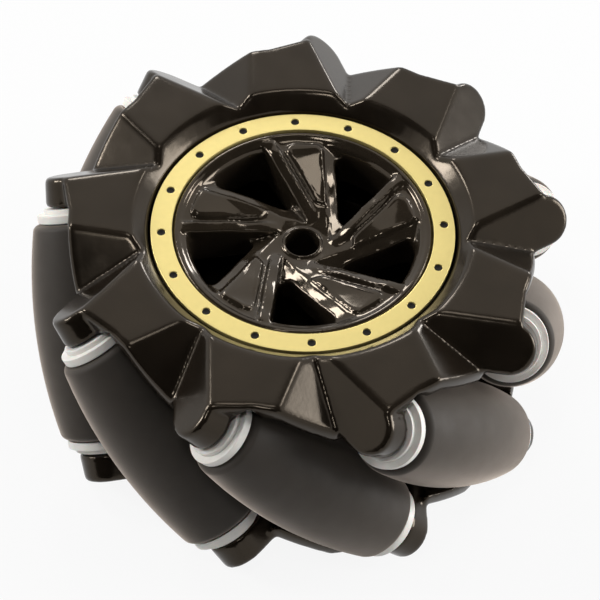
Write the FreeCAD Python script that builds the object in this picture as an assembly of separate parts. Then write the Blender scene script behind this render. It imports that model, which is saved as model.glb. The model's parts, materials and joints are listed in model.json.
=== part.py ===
"""Mecanum wheel: barrel rollers held at 45 degrees between two toothed plates.

Millimetres and degrees. The wheel axis is +Z, the front face looks up, and the
origin is on the axis in the middle plane of the rollers.
"""
import FreeCAD
import Part
import math
import os

from FreeCAD import Placement, Rotation, Vector

# Wheel and rollers
roller_count = 9
roller_tilt = 45.0
roller_phase = -6.5
wheel_radius = 48.5
crown_share = 0.2031
tread_half = 19.6
tread_edge_round = 1.1
core_radius = 5.0

# Bushes and axles
axle_radius = 1.5
axle_running_gap = 0.06
bush_sleeve_radius = 3.2
bush_sleeve_length = 8.0
bush_neck_radius = 5.9
bush_neck_length = 0.3
bush_flange_radius = 6.75
bush_flange_length = 1.5
bush_step_radius = 5.5
bush_step_length = 0.9
bush_end_play = 0.3
fit_gap = 0.02

# Toothed plates
rim_inset = 7.2
fold_depth = 10.0
sheet_thickness = 3.3
sheet_margin = 0.8
crest_width = 2.9
ramp_slope = 33.7
ramp_skew = -20.5
ramp_corner_angle = -7.5
wedge_behind = 75.0
wedge_ahead = 40.0
ear_thickness = 5.3
ear_radius = 4.5
ear_draft = 0.5
ear_edge_round = 0.8
ear_shoulder = 1.65
shoulder_reach = 2.4
ear_root = 8.0
socket_depth = 3.0
socket_end_gap = 0.1
tread_clearance = 0.9

# Drum and dish between the plates
ring_face = 20.3
dish_depth = 2.7
dish_margin = 0.1
drum_clearance = 1.6
drum_wall = 2.5
drum_shoulder_drop = 6.4
cone_drop = 2.9

# Trim ring and its pins
ring_gap = 0.4
ring_width = 3.8
ring_thickness = 1.0
ring_hole_count = 16
ring_hole_phase = 5.5
ring_pin_radius = 0.7
ring_pin_seat = 1.0

# Spoke centre
spoke_count = 5
flange_thickness = 2.0
flange_gap = 0.2
lip_gap = 0.3
lip_width = 0.8
lip_height = 0.8
rim_slope = 0.6
rim_margin = 0.6
window_inset = 0.7
corner_share = 0.075
flank_edge_share = 0.348
flank_edge_angle = 6.0
rib_line_share = 0.154
rib_edge_angle = -41.0
window_depth = 9.4
flank_width = 2.2
flank_drop = 1.0
flank_start_share = 0.3
flank_end_share = 0.9
rib_start = 3.5
rib_crest = 1.9
rib_width = 2.5
rib_edge_share = 0.5
rib_start_height = 0.4
rib_middle_height = 1.1
rib_end_height = 0.5
leaf_gap = 0.6
leaf_height = 0.5
leaf_start = 9.0
leaf_corner = 1.5
spoke_rim_drop = 0.7
spoke_hub_drop = 4.5
spoke_thickness = 2.6
spoke_wall = 1.0
column_angle = 89.6
column_radius = 2.6

# Hub, back web and screws
bore_radius = 3.0
hub_tip_radius = 3.5
hub_tip_drop = 3.8
hub_root_radius = 5.0
web_thickness = 2.5
hex_across_flats = 12.0
hex_depth = 8.0
hex_floor = 2.0
hex_boss_radius = 9.5
hex_sides = 6
screw_radius = 1.25
screw_length = 10.0
screw_hole_gap = 0.2
screw_head_radius = 2.6
screw_head_height = 1.6

# Sizes that follow from the values above
tread_crown_radius = crown_share * wheel_radius
roller_circle = wheel_radius - tread_crown_radius
rim_radius = wheel_radius - rim_inset
drum_radius = roller_circle - tread_crown_radius - drum_clearance
dish_radius = drum_radius + dish_margin
crest_radius = dish_radius + crest_width
sheet_inner_radius = crest_radius + sheet_margin
ring_circle = dish_radius - ring_gap - ring_width / 2
bush_end = tread_half + bush_neck_length + bush_flange_length + bush_step_length
ear_inner = bush_end + bush_end_play
ear_face = ear_inner + ear_thickness
socket_end = ear_inner + socket_depth
tooth_face = ring_face + dish_depth
sheet_floor = tooth_face - fold_depth
drum_inner = drum_radius - drum_wall
drum_shoulder = ring_face - drum_shoulder_drop
cone_height = ring_face - cone_drop
ring_seat = ring_face - ring_thickness
flange_seat = ring_seat - flange_thickness
spoke_rim_height = ring_face - spoke_rim_drop
spoke_hub_height = ring_face - spoke_hub_drop
wall_foot = ring_face - window_depth
lip_outer = ring_circle - ring_width / 2 - lip_gap
lip_inner = lip_outer - lip_width
rim_foot_radius = lip_inner - rim_slope
funnel_radius = rim_foot_radius - rim_margin
window_radius = funnel_radius - window_inset
window_corner = corner_share * window_radius
flank_edge_offset = flank_edge_share * window_radius
flank_start = flank_start_share * window_radius
flank_end = flank_end_share * window_radius
rib_edge_offset = rib_line_share * window_radius
column_circle = (hex_boss_radius + drum_inner) / 2
hub_tip_height = ring_face - hub_tip_drop
web_inner = ring_face - web_thickness
hex_boss_end = ring_face - hex_depth - hex_floor
reach = 2 * wheel_radius

widest_sweep = 45.0
halving_steps = 40
UP = Vector(0, 0, 1)
ORIGIN = Vector(0, 0, 0)


def polar(radius, angle, height=0.0):
    """Point at a radius and an angle about the wheel axis."""
    turn = math.radians(angle)
    return Vector(radius * math.cos(turn), radius * math.sin(turn), height)


def revolve(section):
    """Solid turned about +Z from a closed outline of (radius, height) points."""
    points = [Vector(radius, 0, height) for radius, height in section]
    outline = Part.makePolygon(points + points[:1])
    return Part.Face(outline).revolve(ORIGIN, UP, 360)


def cylinder(radius, low, high, centre=ORIGIN):
    """Upright cylinder between two heights."""
    return Part.makeCylinder(radius, high - low, centre + UP * low)


def turned(shape, angle):
    """Copy of a shape turned about the wheel axis."""
    copy = shape.copy()
    copy.rotate(ORIGIN, UP, angle)
    return copy


def pattern(shape, count, phase=0.0):
    """Copies of a shape spaced evenly round the wheel axis."""
    return [turned(shape, phase + 360.0 * index / count) for index in range(count)]


def beyond(point, normal):
    """Large block that fills the side of a plane the normal points to."""
    block = Part.makeBox(reach, reach, reach, Vector(-reach / 2, -reach / 2, 0))
    block.Placement = Placement(point, Rotation(UP, normal))
    return block


def roller_frame(angle):
    """Local axes of a roller: X outward, Z along the axle to its front end."""
    lean = Placement(Vector(roller_circle, 0, 0), Rotation(Vector(1, 0, 0), roller_tilt))
    return Placement(ORIGIN, Rotation(UP, angle)) * lean


def roller_angle(index):
    """Angle of a roller's middle about the wheel axis, counted clockwise."""
    return roller_phase - 360.0 * index / roller_count


def envelope_point(sweep):
    """(radius, distance along the axle) where a roller meets the rolling cylinder."""
    turn = math.radians(sweep)
    lean = math.sin(math.radians(roller_tilt))
    radius = (wheel_radius - roller_circle / math.cos(turn)) * math.sqrt(1 - (lean * math.sin(turn)) ** 2)
    along = roller_circle * math.tan(turn) + wheel_radius * math.sin(turn)
    return radius, along * math.cos(math.radians(roller_tilt))


def tread_radius_at(distance):
    """Radius of the roller barrel at a distance along its axle, found by halving."""
    low, high = 0.0, widest_sweep
    for step in range(halving_steps):
        middle = (low + high) / 2
        if envelope_point(middle)[1] < distance:
            low = middle
        else:
            high = middle
    return envelope_point(low)[0]


def barrel(half_length, gap):
    """Barrel that follows the rolling cylinder, grown by a gap."""
    end_radius = tread_radius_at(half_length) + gap
    middle_radius = tread_crown_radius + gap
    foot, low = Vector(0, 0, -half_length), Vector(end_radius, 0, -half_length)
    head, high = Vector(0, 0, half_length), Vector(end_radius, 0, half_length)
    crown = Part.Arc(low, Vector(middle_radius, 0, 0), high).toShape()
    sides = [Part.makeLine(foot, low), crown, Part.makeLine(high, head), Part.makeLine(head, foot)]
    return Part.Face(Part.Wire(sides)).revolve(ORIGIN, UP, 360)


def roller_tread():
    """Rubber barrel with rounded ends."""
    body = barrel(tread_half, 0.0)
    end_radius = tread_radius_at(tread_half)
    rims = [edge for edge in body.Edges
            if abs(edge.BoundBox.ZLength) < fit_gap and edge.BoundBox.XLength > 2 * end_radius - fit_gap]
    body = body.makeFillet(tread_edge_round, rims)
    return body.cut(cylinder(core_radius + fit_gap, -reach, reach))


def roller_core():
    """Rigid core under the rubber, open from end to end for the bushes and axle."""
    body = cylinder(core_radius, -tread_half, tread_half)
    return body.cut(cylinder(bush_sleeve_radius + fit_gap, -reach, reach))


def roller_bush():
    """Bush at the front end: sleeve in the core, then neck, wide flange and step."""
    inside = axle_radius + axle_running_gap
    neck_end = tread_half + bush_neck_length
    flange_end = neck_end + bush_flange_length
    return revolve([
        (inside, tread_half - bush_sleeve_length),
        (bush_sleeve_radius, tread_half - bush_sleeve_length),
        (bush_sleeve_radius, tread_half),
        (bush_neck_radius, tread_half),
        (bush_neck_radius, neck_end),
        (bush_flange_radius, neck_end),
        (bush_flange_radius, flange_end),
        (bush_step_radius, flange_end),
        (bush_step_radius, bush_end),
        (inside, bush_end),
    ])


def roller_axle():
    """Steel pin that reaches into the sockets of both ears."""
    half = socket_end - socket_end_gap
    return cylinder(axle_radius, -half, half)


def roller_room():
    """Space that a turning roller needs inside the plates."""
    end_radius = tread_radius_at(tread_half) + tread_clearance
    return barrel(tread_half, tread_clearance).fuse(cylinder(end_radius, -ear_inner, ear_inner))


def tooth_wedge():
    """All the space under the three facets of the tooth of a roller on +X."""
    sector = Part.makeCylinder(reach, tooth_face, ORIGIN, UP, wedge_behind + wedge_ahead)
    sector.rotate(ORIGIN, UP, -wedge_behind)
    sector = sector.cut(cylinder(drum_inner, 0, tooth_face))
    frame = roller_frame(0)
    axis = frame.Rotation.multVec(UP)
    wedge = sector.cut(beyond(frame.multVec(UP * ear_face), axis))
    crease = polar(rim_radius, ramp_corner_angle, tooth_face)
    slope = math.radians(ramp_slope)
    ramp_normal = polar(math.sin(slope), ramp_skew + 90, math.cos(slope))
    return wedge.cut(beyond(crease, ramp_normal))


def tooth_crown():
    """Everything under the folded facets of all the teeth."""
    wedges = pattern(tooth_wedge(), roller_count, roller_phase)
    crown = wedges[0].multiFuse(wedges[1:])
    return crown.common(cylinder(rim_radius + ear_radius, 0, reach)).removeSplitter()


def ear_outline(radius, distance):
    """Outline of an ear's nose round the axle, at a distance along the axle."""
    low, high = Vector(0, -radius, distance), Vector(0, radius, distance)
    root = Vector(-ear_root, 0, 0)
    nose = Part.Arc(low, Vector(radius, 0, distance), high).toShape()
    sides = [nose, Part.makeLine(high, high + root), Part.makeLine(high + root, low + root)]
    return Part.Wire(sides + [Part.makeLine(low + root, low)])


def ear():
    """Tapered nose across the end of a roller on +X, and the shoulder that joins it to the rim."""
    outlines = [ear_outline(ear_radius + ear_draft, ear_inner), ear_outline(ear_radius, ear_face)]
    nose = Part.makeLoft(outlines, True, True)
    edges = [edge for edge in nose.Edges
             if edge.BoundBox.ZMin > ear_face - fit_gap and edge.BoundBox.XMax > -ear_root / 2]
    nose = nose.makeFillet(ear_edge_round, edges)
    shoulder = Part.makeBox(ear_root + ear_shoulder, ear_face, ear_thickness + shoulder_reach)
    shoulder.translate(Vector(-ear_root, 0, ear_inner - shoulder_reach))
    both = nose.fuse(shoulder)
    both.Placement = roller_frame(0)
    return both.cut(beyond(UP * tooth_face, UP))


def axle_socket():
    """Blind hole for the front end of an axle, for a roller on +X."""
    hole = cylinder(axle_radius + fit_gap, bush_end, socket_end)
    hole.Placement = roller_frame(0)
    return hole


def toothed_plate(inner_section):
    """Front plate: dish, drum and folded teeth, closed inside by the given outline."""
    plate = revolve(inner_section + [
        (drum_radius, 0),
        (drum_radius, drum_shoulder),
        (sheet_inner_radius, cone_height),
        (sheet_inner_radius, sheet_floor),
        (rim_radius, sheet_floor),
        (rim_radius, tooth_face),
        (crest_radius, tooth_face),
        (dish_radius, ring_face),
    ])
    crown = tooth_crown()
    above = cylinder(reach, sheet_floor, reach).cut(cylinder(dish_radius, sheet_floor, reach)).cut(crown)
    below = crown.cut(cylinder(sheet_inner_radius, 0, reach))
    below.translate(UP * -sheet_thickness)
    plate = plate.cut(above).cut(below)
    plate = plate.multiFuse(pattern(ear(), roller_count, roller_phase)).removeSplitter()
    rooms = []
    for index in range(roller_count):
        room = roller_room()
        room.Placement = roller_frame(roller_angle(index))
        rooms.append(room)
    return plate.cut(rooms + pattern(axle_socket(), roller_count, roller_phase))


def front_plate():
    """Toothed plate with a ledge for the spoke centre."""
    return toothed_plate([
        (dish_radius, flange_seat),
        (drum_inner, flange_seat),
        (drum_inner, 0),
    ])


def screw_places():
    """Angles of the screws and of the columns that take them."""
    return [column_angle + 360.0 * index / spoke_count for index in range(spoke_count)]


def screw(gap):
    """Countersunk screw pointing up, its head's face level with the back web."""
    radius = screw_radius + gap
    head = screw_head_radius + gap
    foot = -ring_face
    return revolve([
        (0, foot),
        (head, foot),
        (radius, foot + screw_head_height),
        (radius, foot + screw_length),
        (0, foot + screw_length),
    ])


def back_plate():
    """The same toothed plate turned over, closed by a web with a hex drive socket."""
    plate = toothed_plate([
        (bore_radius, ring_face),
        (bore_radius, hex_boss_end),
        (hex_boss_radius, hex_boss_end),
        (hex_boss_radius, web_inner),
        (drum_inner, web_inner),
        (drum_inner, 0),
    ])
    corner_radius = hex_across_flats / 2 / math.cos(math.pi / hex_sides)
    corners = [polar(corner_radius, 360.0 * side / hex_sides, ring_face - hex_depth)
               for side in range(hex_sides + 1)]
    plate = plate.cut(Part.Face(Part.makePolygon(corners)).extrude(UP * reach))
    plate.rotate(ORIGIN, polar(1, roller_phase), 180)
    for angle in screw_places():
        hole = screw(screw_hole_gap)
        hole.translate(polar(column_circle, angle))
        plate = plate.cut(hole)
    return plate


def trim_ring():
    """Flat ring with a circle of pin holes."""
    inner, outer = ring_circle - ring_width / 2, ring_circle + ring_width / 2
    ring = revolve([(inner, ring_seat), (outer, ring_seat), (outer, ring_face), (inner, ring_face)])
    hole = cylinder(ring_pin_radius + fit_gap, 0, reach, Vector(ring_circle, 0, 0))
    return ring.cut(pattern(hole, ring_hole_count, ring_hole_phase))


def ring_pin(gap):
    """Small pin through the trim ring into the flange under it."""
    return cylinder(ring_pin_radius + gap, ring_seat - ring_pin_seat, ring_face, Vector(ring_circle, 0, 0))


def uprights(prism):
    """Upright edges of a prism."""
    return [edge for edge in prism.Edges
            if edge.BoundBox.XLength < fit_gap and edge.BoundBox.YLength < fit_gap]


def window(grow):
    """Prism of one window between two spokes, with rounded corners, grown by a margin."""
    prism = cylinder(window_radius + grow, wall_foot, reach)
    flank_side = polar(1, flank_edge_angle)
    rib_side = polar(1, rib_edge_angle)
    prism = prism.cut(beyond(flank_side * (flank_edge_offset - grow), -flank_side))
    prism = prism.cut(beyond(rib_side * (rib_edge_offset + grow), rib_side))
    return prism.makeFillet(window_corner + grow, uprights(prism))


def spoke_height(radius):
    """Height of the spokes' face at a radius: a shallow cone from the hub up to the rim."""
    share = (radius - bore_radius) / (rim_foot_radius - bore_radius)
    return spoke_hub_height + share * (spoke_rim_height - spoke_hub_height)


def along_edge(offset, angle, distance, drop=0.0):
    """Point over a straight line across the wheel, lowered from the spokes' face by a depth."""
    foot = polar(offset, angle) + polar(distance, angle + 90)
    return foot + UP * (spoke_height(foot.Length) - drop)


def over_plane(first, second, third):
    """Large block on the upper side of the plane through three points."""
    normal = (second - first).cross(third - first)
    return beyond(first, normal if normal.z > 0 else -normal)


def funnel():
    """Space over the two flanks that slope down to a window."""
    ridge_offset = flank_edge_offset - flank_width
    flank_side = polar(1, flank_edge_angle)
    rib_side = polar(1, rib_edge_angle)
    space = cylinder(funnel_radius, wall_foot, reach)
    space = space.cut(beyond(flank_side * ridge_offset, -flank_side))
    space = space.cut(beyond(rib_side * rib_edge_offset, rib_side))
    flank = over_plane(
        along_edge(ridge_offset, flank_edge_angle, flank_start),
        along_edge(ridge_offset, flank_edge_angle, flank_end),
        along_edge(flank_edge_offset, flank_edge_angle, (flank_start + flank_end) / 2, flank_drop))
    slope = revolve([
        (0, wall_foot),
        (window_radius, wall_foot),
        (window_radius, spoke_height(window_radius) - flank_drop),
        (funnel_radius, spoke_height(funnel_radius)),
        (funnel_radius, reach),
        (0, reach),
    ])
    return space.common(flank).common(slope)


def rib():
    """Ridge on a spoke along one edge of a window, its crest set back from the window."""
    across = polar(1, rib_edge_angle)
    half_way = (rib_start + rim_foot_radius) / 2
    places = [(rib_start, rib_start_height), (half_way, rib_middle_height), (rim_foot_radius, rib_end_height)]
    sections = []
    for distance, height in places:
        edge = along_edge(rib_edge_offset, rib_edge_angle, distance)
        outline = [
            edge - UP * spoke_thickness / 2,
            edge + UP * rib_edge_share * height,
            edge + across * rib_crest + UP * height,
            edge + across * rib_width,
            edge + across * rib_width - UP * spoke_thickness / 2,
        ]
        sections.append(Part.makePolygon(outline + outline[:1]))
    return Part.makeLoft(sections, True).common(cylinder(rim_foot_radius, 0, reach))


def leaf():
    """Raised pad with rounded corners on a spoke, between one window's rib and the next one's flank."""
    rib_angle = rib_edge_angle + 360.0 / spoke_count
    rib_offset = rib_edge_offset + rib_width + leaf_gap
    ridge_offset = flank_edge_offset - flank_width
    rib_side, flank_side = polar(1, rib_angle), polar(1, flank_edge_angle)
    pad = cylinder(funnel_radius - leaf_gap, wall_foot, reach).cut(cylinder(leaf_start, wall_foot, reach))
    pad = pad.cut(beyond(rib_side * rib_offset, -rib_side))
    pad = pad.cut(beyond(flank_side * ridge_offset, flank_side))
    corners = [edge for edge in uprights(pad) if edge.CenterOfMass.y > funnel_radius / 2]
    pad = pad.makeFillet(leaf_corner, corners).cut(spoke_cone(leaf_height))
    return pad.cut(over_plane(
        along_edge(ridge_offset, flank_edge_angle, leaf_start, -leaf_height),
        along_edge(ridge_offset, flank_edge_angle, flank_end, -leaf_height),
        along_edge(rib_offset, rib_angle, flank_end, -leaf_height)))


def spoke_cone(drop):
    """Solid under the face of the spokes, lowered by a depth."""
    outer = rim_foot_radius + rim_slope / 2
    return revolve([
        (0, wall_foot),
        (outer, wall_foot),
        (outer, spoke_height(outer) - drop),
        (bore_radius, spoke_hub_height - drop),
        (0, spoke_hub_height - drop),
    ])


def spoke_sheet():
    """Sheet of the spokes with their ribs and leaves, its windows sunk beside sloping flanks."""
    sheet = spoke_cone(0.0).cut(spoke_cone(spoke_thickness))
    sheet = sheet.multiFuse(pattern(rib(), spoke_count) + pattern(leaf(), spoke_count))
    return sheet.cut(pattern(funnel(), spoke_count) + pattern(window(0.0), spoke_count))


def spoke_rim():
    """Rim of the spoke centre: collar in the drum, flange under the ring and inner lip."""
    collar = drum_inner - flange_gap
    flange = dish_radius - flange_gap
    lip_top = ring_seat + lip_height
    return revolve([
        (rim_foot_radius, wall_foot),
        (collar, wall_foot),
        (collar, flange_seat),
        (flange, flange_seat),
        (flange, ring_seat),
        (lip_outer, ring_seat),
        (lip_outer, lip_top),
        (lip_inner, lip_top),
        (rim_foot_radius, spoke_rim_height),
    ])


def hub_tube():
    """Tapered tube round the bore, down to the boss of the back web."""
    return revolve([
        (0, -hex_boss_end),
        (hub_root_radius, -hex_boss_end),
        (hub_root_radius, wall_foot),
        (hub_tip_radius, spoke_hub_height),
        (hub_tip_radius, hub_tip_height),
        (0, hub_tip_height),
    ])


def spoke_centre():
    """Insert with swept and ribbed spokes, deep windows, the hub tube and screw columns."""
    walls = pattern(window(spoke_wall), spoke_count)
    chimneys = walls[0].multiFuse(walls[1:]).common(spoke_cone((flank_drop + spoke_thickness) / 2))
    chimneys = chimneys.cut(pattern(window(0.0), spoke_count))
    columns = []
    for angle in screw_places():
        top = spoke_height(column_circle) - spoke_thickness / 2
        columns.append(cylinder(column_radius, -web_inner, top, polar(column_circle, angle)))
    body = spoke_rim().multiFuse([spoke_sheet(), chimneys, hub_tube()] + columns)
    body = body.cut(cylinder(bore_radius, -reach, reach))
    for angle in screw_places():
        pilot = screw(fit_gap)
        pilot.translate(polar(column_circle, angle))
        body = body.cut(pilot)
    return body.cut(pattern(ring_pin(fit_gap), ring_hole_count, ring_hole_phase)).removeSplitter()


def plate_screws():
    """Group of the countersunk screws."""
    screws = []
    for angle in screw_places():
        one = screw(0.0)
        one.translate(polar(column_circle, angle))
        screws.append(one)
    return Part.makeCompound(screws)


def export(name, shape):
    """Write one piece to its own file."""
    shape.exportStep(os.path.join("parts", name + ".step"))


def export_roller(index):
    """Write the five pieces of one roller in place."""
    frame = roller_frame(roller_angle(index))
    front_bush = roller_bush()
    back_bush = roller_bush()
    back_bush.rotate(ORIGIN, Vector(1, 0, 0), 180)
    pieces = {
        "tread": roller_tread(),
        "core": roller_core(),
        "front_bush": front_bush,
        "back_bush": back_bush,
        "axle": roller_axle(),
    }
    for part_name, shape in pieces.items():
        shape.Placement = frame * shape.Placement
        export("roller_%d_%s" % (index + 1, part_name), shape)


os.makedirs("parts", exist_ok=True)
export("front_plate", front_plate())
export("back_plate", back_plate())
export("spoke_centre", spoke_centre())
export("trim_ring", trim_ring())
export("ring_pins", Part.makeCompound(pattern(ring_pin(0.0), ring_hole_count, ring_hole_phase)))
export("plate_screws", plate_screws())
for roller in range(roller_count):
    export_roller(roller)
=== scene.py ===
"""Looks of a mecanum wheel: moulded toothed plates, spoke centre, trim ring and nine rollers.

Metres, in the part's own frame: the wheel axis is +Z and the front face looks up.
"""

import json
import math

import bmesh
import bpy
from mathutils import Matrix, Vector, noise


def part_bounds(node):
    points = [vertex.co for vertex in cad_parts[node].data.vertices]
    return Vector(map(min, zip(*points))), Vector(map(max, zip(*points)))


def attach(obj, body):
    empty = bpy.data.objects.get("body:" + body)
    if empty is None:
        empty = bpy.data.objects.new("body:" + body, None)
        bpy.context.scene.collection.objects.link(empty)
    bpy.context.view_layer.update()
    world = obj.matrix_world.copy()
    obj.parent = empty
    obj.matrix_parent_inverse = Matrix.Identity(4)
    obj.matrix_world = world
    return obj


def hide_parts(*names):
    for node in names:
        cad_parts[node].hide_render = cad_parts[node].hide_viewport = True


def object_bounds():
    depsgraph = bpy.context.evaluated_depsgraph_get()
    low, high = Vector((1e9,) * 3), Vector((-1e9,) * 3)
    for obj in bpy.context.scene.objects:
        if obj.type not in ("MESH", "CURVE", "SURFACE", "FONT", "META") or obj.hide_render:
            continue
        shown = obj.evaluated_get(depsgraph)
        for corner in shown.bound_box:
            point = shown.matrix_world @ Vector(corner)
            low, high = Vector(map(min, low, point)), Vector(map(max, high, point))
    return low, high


bl_info = {
    "name": "Mecanum wheel",
    "version": (1, 0, 0),
    "blender": (4, 5, 0),
    "location": "View3D > Sidebar > Wheel",
    "description": "Builds the moulded plates, spoke centre, trim ring and rollers of a mecanum wheel",
    "category": "Object",
}

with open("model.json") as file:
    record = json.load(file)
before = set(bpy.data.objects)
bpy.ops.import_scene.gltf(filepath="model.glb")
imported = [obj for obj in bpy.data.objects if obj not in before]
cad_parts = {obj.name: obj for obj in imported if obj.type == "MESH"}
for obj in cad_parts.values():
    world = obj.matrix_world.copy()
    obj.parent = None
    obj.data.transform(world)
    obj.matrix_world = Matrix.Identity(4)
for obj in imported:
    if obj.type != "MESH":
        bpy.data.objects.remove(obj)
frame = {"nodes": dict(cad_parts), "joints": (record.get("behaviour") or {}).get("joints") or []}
part_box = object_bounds()

FRONT = Vector((0, 0, 1))
FULL_TURN = 2 * math.pi
WELD = 0.000004
FLAT_ANGLE = math.radians(0.5)
CREASE_ANGLE = math.radians(18)
EDGE_ANGLE = math.radians(30)
SMOOTH_ANGLE = math.radians(40)

# Steps along and round a tread, and sides of a pin, a screw and its key recess.
TREAD_STEPS = 40
TREAD_SIDES = 96
PIN_SIDES = 24
SCREW_SIDES = 36
KEY_SIDES = 6

# Most values of a noise lie in this span.
NOISE_SPAN = (0.3, 0.7)
ROUGHNESS_DETAIL = 4.0

# The floor lies a little under the wheel, so that no face of the wheel lies in it.
FLOOR_GAP = 0.0004
FLOOR_SIZE = 6.0
SENSOR_WIDTH = 36.0

# Name, size and place of each dark card.
CARDS = (
    ("card overhead", 1.02, (0.0, -0.28, 0.91)),
    ("card in front", 0.95, (-0.393, -1.023, 0.797)),
    ("card at the front right", 0.5, (0.409, -0.487, 1.018)),
)

# Name, width, radiance and place of each lamp.
LAMPS = (
    ("key lamp", 0.1, 22.0, (-0.09, -0.25, 0.66)),
    ("top lamp", 0.14, 6.0, (0.02, 0.217, 0.80)),
    ("back lamp", 0.14, 16.0, (-0.141, 0.664, 0.424)),
    ("left lamp", 0.16, 27.0, (-0.65, 0.06, 0.34)),
    ("back left lamp", 0.12, 28.0, (-0.411, 0.288, 0.557)),
    ("right lamp", 0.36, 11.0, (0.68, 0.08, 0.2)),
    ("back right lamp", 0.12, 16.0, (0.434, 0.304, 0.53)),
    ("low lamp", 0.12, 16.0, (0.367, 0.635, 0.156)),
)


def length(name, default, description):
    """Length property in metres."""
    return bpy.props.FloatProperty(
        name=name, description=description, default=default, min=0.0, precision=5, unit="LENGTH")


def turn(name, degrees, description):
    """Angle property, given in degrees."""
    return bpy.props.FloatProperty(
        name=name, description=description, default=math.radians(degrees), subtype="ANGLE")


def count(name, default, description):
    """Whole number property."""
    return bpy.props.IntProperty(name=name, description=description, default=default, min=1)


def factor(name, default, description):
    """Share property from 0 to 1."""
    return bpy.props.FloatProperty(
        name=name, description=description, default=default, min=0.0, max=1.0, subtype="FACTOR")


def colour(name, default, description):
    """Colour property, linear."""
    return bpy.props.FloatVectorProperty(
        name=name, description=description, default=default, size=3, min=0.0, max=1.0, subtype="COLOR")


class MouldingSizes(bpy.types.PropertyGroup):
    """Softening of the moulded black pieces."""

    plate_round: length("Plate edge", 0.0006, "Rounding of the outer creases and edges of the plates")
    plate_grain: length("Plate grain", 0.00034, "Size of the faces of a plate's even skin")
    plate_passes: count("Plate passes", 10, "How often the skin of a plate is smoothed")
    plate_kept: factor("Plate faces kept", 0.4, "Share of the faces of a plate's skin that is kept")
    spoke_grain: length("Spoke grain", 0.0002, "Size of the faces of the spoke centre's even skin")
    spoke_passes: count("Spoke passes", 26, "How often the skin of the spoke centre is smoothed")
    spoke_kept: factor("Spoke faces kept", 0.2, "Share of the faces of the centre's skin that is kept")
    swell_size: length("Swell size", 0.005, "Size of the swells on the spokes' faces")
    swell_depth: length("Swell depth", 0.0006, "Height of the swells on the spokes' faces")
    swell_inner: length("Swells from", 0.0055, "Radius where the swells begin")
    swell_outer: length("Swells to", 0.0208, "Radius where the swells end")
    swell_fade: length("Swell fade", 0.002, "How far the swells take to grow and to die out")


class TrimSizes(bpy.types.PropertyGroup):
    """Trim ring, its pins and the screws in the back."""

    ring_round: length("Ring edge", 0.00018, "Rounding of the ring's edges")
    pin_count: count("Pins", 16, "Pins in the trim ring")
    pin_circle: length("Pin circle", 0.025, "Radius of the circle of pins")
    pin_phase: turn("First pin", 5.5, "Where the first pin is round the wheel")
    pin_radius: length("Pin radius", 0.0007, "Radius of a pin")
    pin_sink: length("Pin sink", 0.00025, "How far the edge of a pin lies under the ring's face")
    pin_chamfer: factor("Pin chamfer", 0.85, "Share of a pin's radius inside its chamfer")
    pin_dish: factor("Pin dish", 0.5, "Share of the chamfered end that is the bottom of its dish")
    screw_count: count("Screws", 5, "Screws in the back web")
    screw_circle: length("Screw circle", 0.0171, "Radius of the circle of screws")
    screw_phase: turn("First screw", 89.6, "Where the first screw is round the wheel")
    head_radius: length("Screw head", 0.0026, "Radius of a screw's countersunk head")
    head_height: length("Head height", 0.0016, "Height of a screw's countersunk head")
    head_edge: length("Head edge", 0.0002, "Chamfer round a screw's head and tip")
    shank_radius: length("Shank radius", 0.00125, "Radius of a screw's shank")
    tip_share: factor("Screw tip", 0.8, "Share of the shank's radius inside the chamfer of its tip")
    key_radius: length("Key recess", 0.0012, "Radius to the corners of the hexagonal recess")
    key_depth: length("Key depth", 0.0012, "Depth of the recess's upright walls")
    key_point: length("Key point", 0.0003, "Depth of the cone at the bottom of the recess")
    key_tip_share: factor("Key tip", 0.3, "Share of the recess's width at the end of the cone")


class RollerSizes(bpy.types.PropertyGroup):
    """Barrel tread and bush of one roller."""

    half_length: length("Half length", 0.0196, "From the middle of the tread to its end")
    crown_radius: length("Crown radius", 0.00985, "Radius in the middle of the tread")
    end_radius: length("End radius", 0.007643, "Radius at the end of the tread")
    edge_round: length("End rounding", 0.0011, "Rounding of the tread's ends")
    bore_radius: length("Bore", 0.00502, "Radius of the core inside the tread")
    bush_round: length("Bush edge", 0.00018, "Rounding of a bush's edges")


class FinishColours(bpy.types.PropertyGroup):
    """Colours of the finishes."""

    plate: colour("Plates", (0.0085, 0.0062, 0.0042), "Moulded black plastic of the toothed plates")
    insert: colour("Spoke centre", (0.014, 0.0105, 0.007), "High gloss black plastic")
    gloss: colour("Gloss", (1.0, 0.83, 0.64), "Warm tint of the gloss on the black plastic")
    ring: colour("Trim ring", (0.73, 0.595, 0.222), "Pale gold lacquer")
    tread: colour("Treads", (0.024, 0.019, 0.014), "Dark grey rubber")
    bloom: colour("Bloom", (1.0, 0.85, 0.73), "Warm dusty bloom on the rubber")
    bush: colour("Bushes", (0.72, 0.70, 0.655), "White nylon")
    core: colour("Cores", (0.05, 0.05, 0.05), "Grey plastic under the rubber")
    steel: colour("Axles", (0.55, 0.55, 0.54), "Ground steel")
    screw: colour("Screws", (0.11, 0.11, 0.115), "Blackened steel")
    pin: colour("Pins", (0.008, 0.007, 0.006), "Black pins of the ring")
    floor: colour("Floor", (0.6, 0.6, 0.6), "Pale floor")
    card: colour("Cards", (0.02, 0.02, 0.02), "Dark studio cards over and in front of the wheel")


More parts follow.
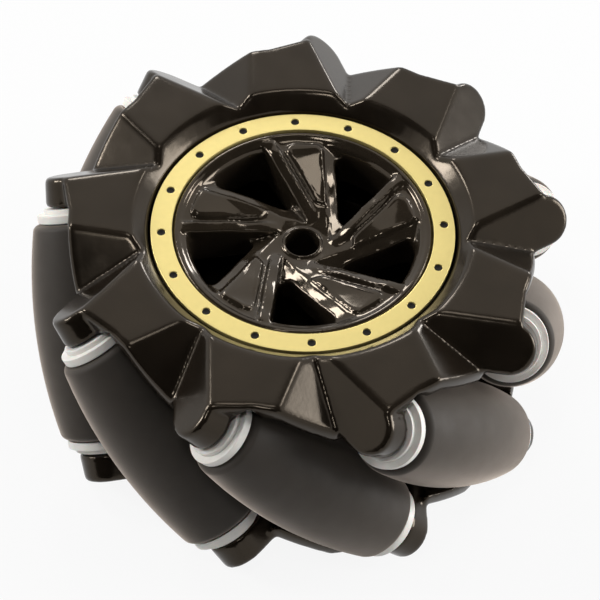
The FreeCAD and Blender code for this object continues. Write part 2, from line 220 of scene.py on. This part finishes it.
class StageSettings(bpy.types.PropertyGroup):
    """Camera and light."""

    lens: bpy.props.FloatProperty(name="Lens", description="Focal length in millimetres", default=142.0)
    elevation: turn("Elevation", 52.73, "Camera above the horizon")
    roll: turn("Roll", 2.76, "Camera turned about its own axis")
    place: bpy.props.FloatVectorProperty(
        name="Place", description="Where the camera stands", default=(0.00007, -0.2628, 0.3447), size=3,
        subtype="TRANSLATION")
    white_share: factor("White floor", 0.9, "How much of the floor is plain white, without shadow")
    ambient: bpy.props.FloatProperty(name="Ambient", description="Light from all round", default=1.0)


GROUPS = {
    "mouldings": MouldingSizes,
    "trim": TrimSizes,
    "rollers": RollerSizes,
    "colours": FinishColours,
    "stage": StageSettings,
}


def settings(name):
    """One of the groups of settings on the scene."""
    return getattr(bpy.context.scene, "wheel_" + name)


def noise_value(tree, place, scale, detail):
    """Noise value on a surface."""
    node = tree.nodes.new("ShaderNodeTexNoise")
    node.inputs["Scale"].default_value = scale
    node.inputs["Detail"].default_value = detail
    tree.links.new(place, node.inputs["Vector"])
    return node.outputs["Fac"]


def shades(tree, value, base, dark, light):
    """Shades of a colour along a value, between two shares of it."""
    node = tree.nodes.new("ShaderNodeValToRGB")
    for element, position, share in zip(node.color_ramp.elements, NOISE_SPAN, (dark, light)):
        element.position = position
        element.color = (*(share * part for part in base), 1.0)
    tree.links.new(value, node.inputs["Fac"])
    return node.outputs["Color"]


def spread(tree, value, least, most):
    """Noise value spread between two numbers."""
    node = tree.nodes.new("ShaderNodeMapRange")
    node.inputs["From Min"].default_value = NOISE_SPAN[0]
    node.inputs["From Max"].default_value = NOISE_SPAN[1]
    node.inputs["To Min"].default_value = least
    node.inputs["To Max"].default_value = most
    tree.links.new(value, node.inputs["Value"])
    return node.outputs["Result"]


def relief(tree, height, strength, depth):
    """Fine surface relief from a height."""
    node = tree.nodes.new("ShaderNodeBump")
    node.inputs["Strength"].default_value = strength
    node.inputs["Distance"].default_value = depth
    tree.links.new(height, node.inputs["Height"])
    return node.outputs["Normal"]


def new_finish(name, base, mottle, rough, grain, uniform):
    """Material with mottled shades of a colour, uneven gloss and a fine grain.

    mottle is a noise's scale and detail and the darkest and lightest share of the colour, rough a noise's
    scale and the least and most roughness, grain a noise's scale and detail and the relief's strength and
    depth. The uniform values are set on the shader's own sockets.
    """
    material = bpy.data.materials.new(name)
    material.use_nodes = True
    tree = material.node_tree
    shader = tree.nodes["Principled BSDF"]
    for socket, value in uniform.items():
        shader.inputs[socket].default_value = value
    place = tree.nodes.new("ShaderNodeTexCoord").outputs["Object"]
    patches = noise_value(tree, place, *mottle[:2])
    tree.links.new(shades(tree, patches, base, *mottle[2:]), shader.inputs["Base Color"])
    wear = noise_value(tree, place, rough[0], ROUGHNESS_DETAIL)
    tree.links.new(spread(tree, wear, *rough[1:]), shader.inputs["Roughness"])
    height = noise_value(tree, place, *grain[:2])
    tree.links.new(relief(tree, height, *grain[2:]), shader.inputs["Normal"])
    return material


def plate_finish():
    """Moulded black plastic: brown-black, satin gloss with a faint flow pattern."""
    colours = settings("colours")
    return new_finish(
        "plate_black", colours.plate, mottle=(140.0, 4.0, 0.75, 1.3), rough=(260.0, 0.14, 0.2),
        grain=(1500.0, 2.0, 0.08, 0.00008),
        uniform={"Specular IOR Level": 0.38, "Specular Tint": (*colours.gloss, 1.0)})


def insert_finish():
    """High gloss black plastic of the spoke centre."""
    colours = settings("colours")
    return new_finish(
        "insert_black", colours.insert, mottle=(200.0, 4.0, 0.8, 1.25), rough=(320.0, 0.06, 0.11),
        grain=(420.0, 2.0, 0.06, 0.00015), uniform={"Specular Tint": (*colours.gloss, 1.0)})


def ring_finish():
    """Pale gold lacquer with a faint grain."""
    return new_finish(
        "ring_gold", settings("colours").ring, mottle=(900.0, 6.0, 0.98, 1.02), rough=(700.0, 0.3, 0.34),
        grain=(1800.0, 2.0, 0.01, 0.00002), uniform={"Metallic": 0.6})


def tread_finish():
    """Matt rubber with a fine moulded grain and a dusty bloom."""
    colours = settings("colours")
    return new_finish(
        "tread_rubber", colours.tread, mottle=(420.0, 8.0, 0.93, 1.08), rough=(300.0, 0.58, 0.68),
        grain=(5200.0, 3.0, 0.22, 0.00006),
        uniform={"Specular IOR Level": 0.3, "Sheen Weight": 0.75, "Sheen Roughness": 0.38,
                 "Sheen Tint": (*colours.bloom, 1.0)})


def bush_finish():
    """White nylon that light sinks into a little."""
    return new_finish(
        "bush_nylon", settings("colours").bush, mottle=(500.0, 4.0, 0.95, 1.03), rough=(650.0, 0.38, 0.5),
        grain=(4000.0, 2.0, 0.08, 0.00004), uniform={"Subsurface Weight": 0.15, "Subsurface Scale": 0.001})


def steel_finish(name, base, least, most):
    """Turned steel with a fine grain, between two roughnesses."""
    return new_finish(
        name, base, mottle=(1500.0, 4.0, 0.85, 1.12), rough=(900.0, least, most),
        grain=(6000.0, 2.0, 0.1, 0.00003), uniform={"Metallic": 1.0})


def matt_finish(name, base):
    """Plain moulded plastic without gloss."""
    return new_finish(
        name, base, mottle=(600.0, 4.0, 0.85, 1.15), rough=(800.0, 0.5, 0.62),
        grain=(3500.0, 2.0, 0.12, 0.00005), uniform={"Specular IOR Level": 0.12})


def weld(mesh):
    """Merge doubles and turn all faces outward."""
    bmesh.ops.remove_doubles(mesh, verts=mesh.verts, dist=WELD)
    bmesh.ops.recalc_face_normals(mesh, faces=mesh.faces)


def extrude_loop(mesh, edges, shift, scale=1.0):
    """Extrude a loop of edges along Z, scaled about Z, and give the new loop."""
    grown = bmesh.ops.extrude_edge_only(mesh, edges=edges)["geom"]
    points = [item for item in grown if isinstance(item, bmesh.types.BMVert)]
    bmesh.ops.scale(mesh, verts=points, vec=(scale, scale, 1.0))
    bmesh.ops.translate(mesh, verts=points, vec=FRONT * shift)
    return [item for item in grown if isinstance(item, bmesh.types.BMEdge)
            and all(point in points for point in item.verts)]


def ring_of(mesh, radius, height, phase, number):
    """Move a mesh that stands on Z out to a circle and repeat it evenly round Z."""
    bmesh.ops.translate(mesh, verts=mesh.verts, vec=(radius, 0, height))
    bmesh.ops.rotate(mesh, verts=mesh.verts, matrix=Matrix.Rotation(phase, 3, "Z"))
    bmesh.ops.spin(mesh, geom=mesh.verts[:] + mesh.edges[:] + mesh.faces[:], cent=(0, 0, 0), axis=FRONT,
                   angle=FULL_TURN * (number - 1) / number, steps=number - 1, use_duplicate=True)
    weld(mesh)


def sharp_edges(mesh, angle):
    """Edges whose faces meet at more than an angle."""
    return [edge for edge in mesh.edges if edge.is_manifold and edge.calc_face_angle() > angle]


def outer_edges(mesh, angle):
    """Sharp edges that stand out, without inner corners."""
    return [edge for edge in sharp_edges(mesh, angle) if edge.is_convex]


def round_edges(mesh, edges, width, segments, clamp=False):
    """Round some edges."""
    bmesh.ops.bevel(mesh, geom=edges, offset=width, offset_type="OFFSET", segments=segments, profile=0.5,
                    affect="EDGES", material=-1, clamp_overlap=clamp)


def softened(mesh, grain, passes, kept):
    """Even skin of a mesh, its edges and corners run into soft curves, with a share of its faces kept."""
    data = bpy.data.meshes.new("sharp skin")
    mesh.to_mesh(data)
    mesh.free()
    holder = bpy.data.objects.new("sharp skin", data)
    bpy.context.scene.collection.objects.link(holder)
    even = holder.modifiers.new("Even skin", "REMESH")
    even.mode = "VOXEL"
    even.voxel_size = grain
    soft = holder.modifiers.new("Soft edges", "SMOOTH")
    soft.iterations = passes
    fewer = holder.modifiers.new("Fewer faces", "DECIMATE")
    fewer.ratio = kept
    skin = bpy.data.meshes.new_from_object(holder.evaluated_get(bpy.context.evaluated_depsgraph_get()))
    mesh = bmesh.new()
    mesh.from_mesh(skin)
    bpy.data.objects.remove(holder)
    bpy.data.meshes.remove(data)
    bpy.data.meshes.remove(skin)
    return mesh


def swell(mesh, sizes):
    """Gentle swells on the faces that look up, between two radii, as on thick glossy mouldings."""
    mesh.normal_update()
    for point in mesh.verts:
        reach = point.co.xy.length
        inside = min(reach - sizes.swell_inner, sizes.swell_outer - reach) / sizes.swell_fade
        share = max(0.0, min(1.0, inside)) * max(0.0, point.normal.z)
        height = noise.noise(point.co / sizes.swell_size)
        point.co += point.normal * share * height * sizes.swell_depth


def welded_copy(node):
    """Copy of a node's skin with its doubles merged and its flat faces joined."""
    mesh = bmesh.new()
    mesh.from_mesh(frame["nodes"][node].data)
    bmesh.ops.remove_doubles(mesh, verts=mesh.verts, dist=WELD)
    bmesh.ops.dissolve_limit(mesh, angle_limit=FLAT_ANGLE, verts=mesh.verts, edges=mesh.edges)
    return mesh


def add_piece(name, mesh, body, finish, node):
    """Put a finished mesh in the scene on its body, in place of its node."""
    data = bpy.data.meshes.new(name)
    mesh.to_mesh(data)
    mesh.free()
    if not data.polygons:
        raise RuntimeError("%s has no faces" % name)
    if data.has_custom_normals:
        data.attributes.remove(data.attributes["custom_normal"])
    data.materials.clear()
    data.materials.append(finish)
    data.shade_smooth()
    data.set_sharp_from_angle(angle=SMOOTH_ANGLE)
    piece = bpy.data.objects.new(name, data)
    bpy.context.scene.collection.objects.link(piece)
    normals = piece.modifiers.new("Even normals", "WEIGHTED_NORMAL")
    normals.keep_sharp = True
    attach(piece, body)
    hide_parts(node)


def finish_node(node, finish):
    """Give a node that stays in view its finish."""
    materials = frame["nodes"][node].data.materials
    materials.clear()
    materials.append(finish)


def roller_axes(joint):
    """A roller's own axes from its joint: X outward, Z along the axle."""
    middle = Vector(joint["pos_m"])
    along = Vector(joint["axis"]).normalized()
    outward = Vector((middle.x, middle.y, 0)).normalized()
    axes = Matrix((outward, along.cross(outward), along)).transposed()
    return Matrix.Translation(middle) @ axes.to_4x4()


class WHEEL_OT_plates(bpy.types.Operator):
    """Make the front and back toothed plates with soft creases"""

    bl_idname = "wheel.plates"
    bl_label = "Toothed plates"

    def execute(self, context):
        sizes = settings("mouldings")
        finish = plate_finish()
        for node in ("front_plate", "back_plate"):
            mesh = welded_copy(node)
            round_edges(mesh, outer_edges(mesh, CREASE_ANGLE), sizes.plate_round, segments=3)
            mesh = softened(mesh, sizes.plate_grain, sizes.plate_passes, sizes.plate_kept)
            add_piece(node + "_moulding", mesh, "hub", finish, node)
        return {"FINISHED"}


class WHEEL_OT_spoke_centre(bpy.types.Operator):
    """Make the glossy centre with its swept spokes"""

    bl_idname = "wheel.spoke_centre"
    bl_label = "Spoke centre"

    def execute(self, context):
        sizes = settings("mouldings")
        mesh = welded_copy("spoke_centre")
        mesh = softened(mesh, sizes.spoke_grain, sizes.spoke_passes, sizes.spoke_kept)
        swell(mesh, sizes)
        add_piece("spoke_centre_moulding", mesh, "hub", insert_finish(), "spoke_centre")
        return {"FINISHED"}


class WHEEL_OT_trim_ring(bpy.types.Operator):
    """Make the gold trim ring with rounded edges"""

    bl_idname = "wheel.trim_ring"
    bl_label = "Trim ring"

    def execute(self, context):
        mesh = welded_copy("trim_ring")
        round_edges(mesh, sharp_edges(mesh, EDGE_ANGLE), settings("trim").ring_round, segments=2)
        add_piece("trim_ring_plate", mesh, "hub", ring_finish(), "trim_ring")
        return {"FINISHED"}


class WHEEL_OT_treads(bpy.types.Operator):
    """Make the rubber treads of all the rollers"""

    bl_idname = "wheel.treads"
    bl_label = "Treads"

    def barrel(self, sizes):
        """Barrel with a smooth crown and rounded ends, open along its axle."""
        mesh = bmesh.new()
        half = sizes.half_length
        sag = sizes.crown_radius - sizes.end_radius
        bend = (half ** 2 + sag ** 2) / (2 * sag)
        start = mesh.verts.new((sizes.end_radius, 0, -half))
        crown = bmesh.ops.spin(mesh, geom=[start], cent=(sizes.crown_radius - bend, 0, 0), axis=(0, -1, 0),
                               angle=2 * math.asin(half / bend), steps=TREAD_STEPS)
        end = next(item for item in crown["geom_last"] if isinstance(item, bmesh.types.BMVert))
        foot = mesh.verts.new((sizes.bore_radius, 0, -half))
        head = mesh.verts.new((sizes.bore_radius, 0, half))
        for pair in ((foot, start), (end, head), (head, foot)):
            mesh.edges.new(pair)
        bmesh.ops.spin(mesh, geom=mesh.verts[:] + mesh.edges[:], cent=(0, 0, 0), axis=FRONT,
                       angle=FULL_TURN, steps=TREAD_SIDES, use_merge=True)
        weld(mesh)
        limit = (sizes.end_radius + sizes.bore_radius) / 2
        rims = [edge for edge in sharp_edges(mesh, SMOOTH_ANGLE) if edge.verts[0].co.xy.length > limit]
        round_edges(mesh, rims, sizes.edge_round, segments=5, clamp=True)
        weld(mesh)
        return mesh

    def execute(self, context):
        finish = tread_finish()
        for joint in frame["joints"]:
            mesh = self.barrel(settings("rollers"))
            mesh.transform(roller_axes(joint))
            body = joint["child"]
            add_piece(body + "_rubber", mesh, body, finish, body + "_tread")
        return {"FINISHED"}


class WHEEL_OT_bushes(bpy.types.Operator):
    """Finish the nylon bushes at both ends of every roller"""

    bl_idname = "wheel.bushes"
    bl_label = "Bushes"

    def execute(self, context):
        width = settings("rollers").bush_round
        finish = bush_finish()
        for joint in frame["joints"]:
            for end in ("front", "back"):
                node = "%s_%s_bush" % (joint["child"], end)
                mesh = welded_copy(node)
                round_edges(mesh, outer_edges(mesh, EDGE_ANGLE), width, segments=2)
                add_piece(node + "_nylon", mesh, joint["child"], finish, node)
        return {"FINISHED"}


class WHEEL_OT_ring_pins(bpy.types.Operator):
    """Make the dished pins in the trim ring"""

    bl_idname = "wheel.ring_pins"
    bl_label = "Ring pins"

    def execute(self, context):
        sizes = settings("trim")
        low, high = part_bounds("ring_pins")
        mesh = bmesh.new()
        bmesh.ops.create_circle(mesh, cap_ends=True, segments=PIN_SIDES, radius=sizes.pin_radius)
        side = extrude_loop(mesh, mesh.edges[:], high.z - low.z - sizes.pin_sink)
        chamfer = extrude_loop(mesh, side, sizes.pin_sink / 3, sizes.pin_chamfer)
        dish = extrude_loop(mesh, chamfer, -sizes.pin_sink / 2, sizes.pin_dish)
        bmesh.ops.edgeloop_fill(mesh, edges=dish)
        ring_of(mesh, sizes.pin_circle, low.z, sizes.pin_phase, sizes.pin_count)
        finish = matt_finish("pin_black", settings("colours").pin)
        add_piece("ring_pins_dished", mesh, "hub", finish, "ring_pins")
        return {"FINISHED"}


class WHEEL_OT_plate_screws(bpy.types.Operator):
    """Make the countersunk screws in the back"""

    bl_idname = "wheel.plate_screws"
    bl_label = "Plate screws"

    def screw(self, sizes, height):
        """Screw that stands on its head, with a hexagonal recess."""
        mesh = bmesh.new()
        face_radius = sizes.head_radius - sizes.head_edge
        bmesh.ops.create_circle(mesh, segments=KEY_SIDES, radius=sizes.key_radius)
        recess = mesh.edges[:]
        bmesh.ops.create_circle(mesh, segments=SCREW_SIDES, radius=face_radius)
        face = [edge for edge in mesh.edges if edge not in recess]
        bmesh.ops.bridge_loops(mesh, edges=recess + face)
        bottom = extrude_loop(mesh, recess, sizes.key_depth)
        point = extrude_loop(mesh, bottom, sizes.key_point, sizes.key_tip_share)
        bmesh.ops.edgeloop_fill(mesh, edges=point)
        head = extrude_loop(mesh, face, sizes.head_edge, sizes.head_radius / face_radius)
        neck = extrude_loop(mesh, head, sizes.head_height - sizes.head_edge,
                            sizes.shank_radius / sizes.head_radius)
        shank = extrude_loop(mesh, neck, height - sizes.head_height - sizes.head_edge)
        tip = extrude_loop(mesh, shank, sizes.head_edge, sizes.tip_share)
        bmesh.ops.edgeloop_fill(mesh, edges=tip)
        return mesh

    def execute(self, context):
        sizes = settings("trim")
        low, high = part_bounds("plate_screws")
        mesh = self.screw(sizes, high.z - low.z)
        ring_of(mesh, sizes.screw_circle, low.z, sizes.screw_phase, sizes.screw_count)
        finish = steel_finish("screw_steel", settings("colours").screw, 0.34, 0.46)
        add_piece("plate_screws_socket_head", mesh, "hub", finish, "plate_screws")
        return {"FINISHED"}


class WHEEL_OT_inner_pieces(bpy.types.Operator):
    """Finish the cores and axles"""

    bl_idname = "wheel.inner_pieces"
    bl_label = "Cores and axles"

    def execute(self, context):
        colours = settings("colours")
        core = matt_finish("core_plastic", colours.core)
        axle = steel_finish("axle_steel", colours.steel, 0.24, 0.36)
        for joint in frame["joints"]:
            finish_node(joint["child"] + "_core", core)
            finish_node(joint["child"] + "_axle", axle)
        return {"FINISHED"}


class WHEEL_OT_stage(bpy.types.Operator):
    """Make the floor, the cards, the lamps and the camera"""

    bl_idname = "wheel.stage"
    bl_label = "Stage"

    def sheet(self, name, size, matrix, shade):
        """Square matt sheet of one shade that belongs to the studio."""
        mesh = bmesh.new()
        bmesh.ops.create_grid(mesh, x_segments=1, y_segments=1, size=size, matrix=matrix)
        data = bpy.data.meshes.new(name)
        mesh.to_mesh(data)
        mesh.free()
        sheet = bpy.data.objects.new(name, data)
        bpy.context.scene.collection.objects.link(sheet)
        material = bpy.data.materials.new(name)
        material.use_nodes = True
        data.materials.append(material)
        shader = material.node_tree.nodes["Principled BSDF"]
        shader.inputs["Base Color"].default_value = (*shade, 1.0)
        shader.inputs["Roughness"].default_value = 0.9
        shader.inputs["Specular IOR Level"].default_value = 0.1
        return sheet

    def white_part(self, tree):
        """How white the floor is for a ray: white where it is looked at, mirrored or seen through glass."""
        path = tree.nodes.new("ShaderNodeLightPath")
        seen = path.outputs["Is Camera Ray"]
        for ray in ("Is Glossy Ray", "Is Transmission Ray"):
            either = tree.nodes.new("ShaderNodeMath")
            either.operation = "MAXIMUM"
            tree.links.new(seen, either.inputs[0])
            tree.links.new(path.outputs[ray], either.inputs[1])
            seen = either.outputs[0]
        part = tree.nodes.new("ShaderNodeMath")
        part.operation = "MULTIPLY"
        part.inputs[1].default_value = settings("stage").white_share
        tree.links.new(seen, part.inputs[0])
        return part.outputs[0]

    def mixed(self, tree, share, first, second):
        """Two shaders mixed by a share."""
        node = tree.nodes.new("ShaderNodeMixShader")
        tree.links.new(share, node.inputs["Fac"])
        tree.links.new(first, node.inputs[1])
        tree.links.new(second, node.inputs[2])
        return node.outputs["Shader"]

    def floor(self):
        """Pale floor that keeps the wheel's shadow and can be looked through from below."""
        place = Matrix.Translation((0, 0, part_box[0].z - FLOOR_GAP))
        sheet = self.sheet("floor", FLOOR_SIZE, place, settings("colours").floor)
        tree = sheet.active_material.node_tree
        matt = tree.nodes["Principled BSDF"].outputs["BSDF"]
        white = tree.nodes.new("ShaderNodeEmission").outputs["Emission"]
        clear = tree.nodes.new("ShaderNodeBsdfTransparent").outputs["BSDF"]
        below = tree.nodes.new("ShaderNodeNewGeometry").outputs["Backfacing"]
        lit = self.mixed(tree, self.white_part(tree), matt, white)
        whole = self.mixed(tree, below, lit, clear)
        tree.links.new(whole, tree.nodes["Material Output"].inputs["Surface"])

    def card(self, name, size, place):
        """Dark card that faces the wheel and gives its gloss something dark to mirror."""
        aim = (-Vector(place)).to_track_quat("Z", "Y").to_matrix().to_4x4()
        sheet = self.sheet(name, size, Matrix.Translation(place) @ aim, settings("colours").card)
        sheet.visible_camera = False

    def lamp(self, name, width, radiance, place):
        """Soft square lamp aimed at the wheel."""
        data = bpy.data.lights.new(name, "AREA")
        data.size = width
        data.energy = radiance * math.pi * width * width
        lamp = bpy.data.objects.new(name, data)
        lamp.location = place
        lamp.rotation_mode = "QUATERNION"
        lamp.rotation_quaternion = (-Vector(place)).to_track_quat("-Z", "Y")
        lamp.visible_camera = False
        bpy.context.scene.collection.objects.link(lamp)

    def world(self):
        """Plain white surroundings."""
        world = bpy.data.worlds.new("studio")
        world.use_nodes = True
        background = world.node_tree.nodes["Background"]
        background.inputs["Strength"].default_value = settings("stage").ambient
        background.inputs["Color"].default_value = (1.0, 1.0, 1.0, 1.0)
        bpy.context.scene.world = world

    def camera(self):
        """Camera that looks down on the front face."""
        stage = settings("stage")
        data = bpy.data.cameras.new("camera")
        data.lens = stage.lens
        data.sensor_width = SENSOR_WIDTH
        camera = bpy.data.objects.new("camera", data)
        tilt = Matrix.Rotation(math.pi / 2 - stage.elevation, 4, "X")
        roll = Matrix.Rotation(stage.roll, 4, "Z")
        camera.matrix_world = Matrix.Translation(stage.place) @ tilt @ roll
        bpy.context.scene.collection.objects.link(camera)
        bpy.context.scene.camera = camera

    def execute(self, context):
        self.floor()
        for card in CARDS:
            self.card(*card)
        for lamp in LAMPS:
            self.lamp(*lamp)
        self.world()
        self.camera()
        context.scene.view_settings.view_transform = "Standard"
        return {"FINISHED"}


OPERATORS = (
    WHEEL_OT_plates,
    WHEEL_OT_spoke_centre,
    WHEEL_OT_trim_ring,
    WHEEL_OT_treads,
    WHEEL_OT_bushes,
    WHEEL_OT_ring_pins,
    WHEEL_OT_plate_screws,
    WHEEL_OT_inner_pieces,
    WHEEL_OT_stage,
)


class WHEEL_PT_panel(bpy.types.Panel):
    """Buttons for the pieces of the wheel, and their settings"""

    bl_idname = "WHEEL_PT_panel"
    bl_label = "Mecanum wheel"
    bl_space_type = "VIEW_3D"
    bl_region_type = "UI"
    bl_category = "Wheel"

    def draw(self, context):
        for operator in OPERATORS:
            self.layout.operator(operator.bl_idname)
        for name, group in GROUPS.items():
            box = self.layout.box()
            for entry in group.__annotations__:
                box.prop(settings(name), entry)


CLASSES = (*GROUPS.values(), *OPERATORS, WHEEL_PT_panel)


def register():
    """Register the classes and put the settings on the scene."""
    for item in CLASSES:
        bpy.utils.register_class(item)
    for name, group in GROUPS.items():
        setattr(bpy.types.Scene, "wheel_" + name, bpy.props.PointerProperty(type=group))


def unregister():
    """Take the settings and classes away again."""
    for name in GROUPS:
        delattr(bpy.types.Scene, "wheel_" + name)
    for item in reversed(CLASSES):
        bpy.utils.unregister_class(item)


def main():
    """Build every piece and the stage."""
    register()
    bpy.ops.wheel.plates()
    bpy.ops.wheel.spoke_centre()
    bpy.ops.wheel.trim_ring()
    bpy.ops.wheel.treads()
    bpy.ops.wheel.bushes()
    bpy.ops.wheel.ring_pins()
    bpy.ops.wheel.plate_screws()
    bpy.ops.wheel.inner_pieces()
    bpy.ops.wheel.stage()


if __name__ == "__main__":
    main()
